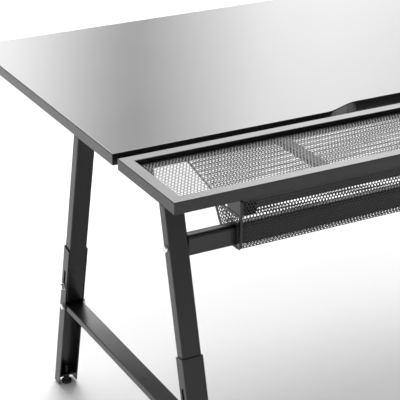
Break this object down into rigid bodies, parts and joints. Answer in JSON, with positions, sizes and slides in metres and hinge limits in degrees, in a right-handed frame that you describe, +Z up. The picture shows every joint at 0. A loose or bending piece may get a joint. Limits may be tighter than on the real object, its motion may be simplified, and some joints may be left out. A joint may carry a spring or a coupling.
{
  "type": "computer desk",
  "caption": "Computer desk with splayed telescopic legs, a perforated shelf in a tube frame along the rear edge, and a perforated cable tray below it.",
  "frame": {"origin": "on the floor under the middle of the whole desk", "axes": "+X along the desk, +Y to its rear where the mesh shelf is, +Z up"},
  "size_m": [1.6194, 1.1772, 0.7],
  "materials": {
    "board_laminate": "satin black laminate on particle board",
    "frame_coat": "fine satin powder coat",
    "mesh_coat": "satin powder coat on perforated sheet",
    "bracket_coat": "satin powder coat",
    "zinc": "bright zinc plating",
    "black_plastic": "moulded, fine grain"
  },
  "bodies": {
    "desk_frame": {"beam_bolts": "zinc", "beam_end_plugs": "bracket_coat", "board_screws": "zinc", "front_cross_rail": "frame_coat", "front_left_upper_leg": "frame_coat", "front_right_upper_leg": "frame_coat", "height_bolts": "zinc", "height_inserts": "zinc", "height_washers": "zinc", "left_board_rail": "frame_coat", "rail_end_caps": "black_plastic", "rear_beam": "frame_coat", "rear_cross_rail": "frame_coat", "rear_left_upper_leg": "frame_coat", "rear_right_upper_leg": "frame_coat", "right_board_rail": "frame_coat", "shelf_frame_front": "frame_coat", "shelf_frame_left": "frame_coat", "shelf_frame_rear": "frame_coat", "shelf_frame_right": "frame_coat", "shelf_mesh": "mesh_coat", "shelf_strut_centre": "frame_coat", "shelf_strut_left": "frame_coat", "shelf_strut_right": "frame_coat", "tabletop": "board_laminate", "tray_block_left": "frame_coat", "tray_block_right": "frame_coat", "tray_clamp_centre": "frame_coat", "tray_clamp_left": "frame_coat", "tray_clamp_right": "frame_coat", "tray_end_left": "mesh_coat", "tray_end_right": "mesh_coat", "tray_rail": "frame_coat", "tray_trough": "mesh_coat"},
    "front_left_lower_leg": {"front_left_bar_bolt": "zinc", "front_left_bar_nut": "zinc", "front_left_channel": "frame_coat", "front_left_foot_plate": "bracket_coat"},
    "front_left_levelling_foot": {"front_left_foot_pad": "black_plastic", "front_left_foot_stem": "bracket_coat"},
    "front_right_lower_leg": {"front_right_bar_bolt": "zinc", "front_right_bar_nut": "zinc", "front_right_channel": "frame_coat", "front_right_foot_plate": "bracket_coat"},
    "front_right_levelling_foot": {"front_right_foot_pad": "black_plastic", "front_right_foot_stem": "bracket_coat"},
    "left_foot_bar_body": {"left_foot_bar": "frame_coat"},
    "rear_left_lower_leg": {"rear_left_bar_bolt": "zinc", "rear_left_bar_nut": "zinc", "rear_left_channel": "frame_coat", "rear_left_foot_plate": "bracket_coat"},
    "rear_left_levelling_foot": {"rear_left_foot_pad": "black_plastic", "rear_left_foot_stem": "bracket_coat"},
    "rear_right_lower_leg": {"rear_right_bar_bolt": "zinc", "rear_right_bar_nut": "zinc", "rear_right_channel": "frame_coat", "rear_right_foot_plate": "bracket_coat"},
    "rear_right_levelling_foot": {"rear_right_foot_pad": "black_plastic", "rear_right_foot_stem": "bracket_coat"},
    "right_foot_bar_body": {"right_foot_bar": "frame_coat"}
  },
  "joints": [
    {"name": "rear_left_leg_slide", "type": "slide", "parent": "desk_frame", "child": "rear_left_lower_leg", "axis": [0, 0.2368, -0.9715], "range_m": [0, 0.04]},
    {"name": "rear_right_leg_slide", "type": "slide", "parent": "desk_frame", "child": "rear_right_lower_leg", "axis": [0, 0.2368, -0.9715], "range_m": [0, 0.04]},
    {"name": "front_left_leg_slide", "type": "slide", "parent": "desk_frame", "child": "front_left_lower_leg", "axis": [0, -0.2368, -0.9715], "range_m": [0, 0.04]},
    {"name": "front_right_leg_slide", "type": "slide", "parent": "desk_frame", "child": "front_right_lower_leg", "axis": [0, -0.2368, -0.9715], "range_m": [0, 0.04]},
    {"name": "left_foot_bar_slide", "type": "slide", "parent": "desk_frame", "child": "left_foot_bar_body", "axis": [0, 0, -1], "range_m": [0, 0.04]},
    {"name": "right_foot_bar_slide", "type": "slide", "parent": "desk_frame", "child": "right_foot_bar_body", "axis": [0, 0, -1], "range_m": [0, 0.04]},
    {"name": "rear_left_foot_screw", "type": "slide", "parent": "rear_left_lower_leg", "child": "rear_left_levelling_foot", "axis": [0, 0, -1], "range_m": [0, 0.012]},
    {"name": "rear_right_foot_screw", "type": "slide", "parent": "rear_right_lower_leg", "child": "rear_right_levelling_foot", "axis": [0, 0, -1], "range_m": [0, 0.012]},
    {"name": "front_left_foot_screw", "type": "slide", "parent": "front_left_lower_leg", "child": "front_left_levelling_foot", "axis": [0, 0, -1], "range_m": [0, 0.012]},
    {"name": "front_right_foot_screw", "type": "slide", "parent": "front_right_lower_leg", "child": "front_right_levelling_foot", "axis": [0, 0, -1], "range_m": [0, 0.012]}
  ],
  "couplings": [
    {"joint": "rear_right_leg_slide", "follows": "rear_left_leg_slide", "ratio": 1},
    {"joint": "front_left_leg_slide", "follows": "rear_left_leg_slide", "ratio": 1},
    {"joint": "front_right_leg_slide", "follows": "rear_left_leg_slide", "ratio": 1},
    {"joint": "left_foot_bar_slide", "follows": "rear_left_leg_slide", "ratio": 0.97155},
    {"joint": "right_foot_bar_slide", "follows": "rear_left_leg_slide", "ratio": 0.97155}
  ]
}
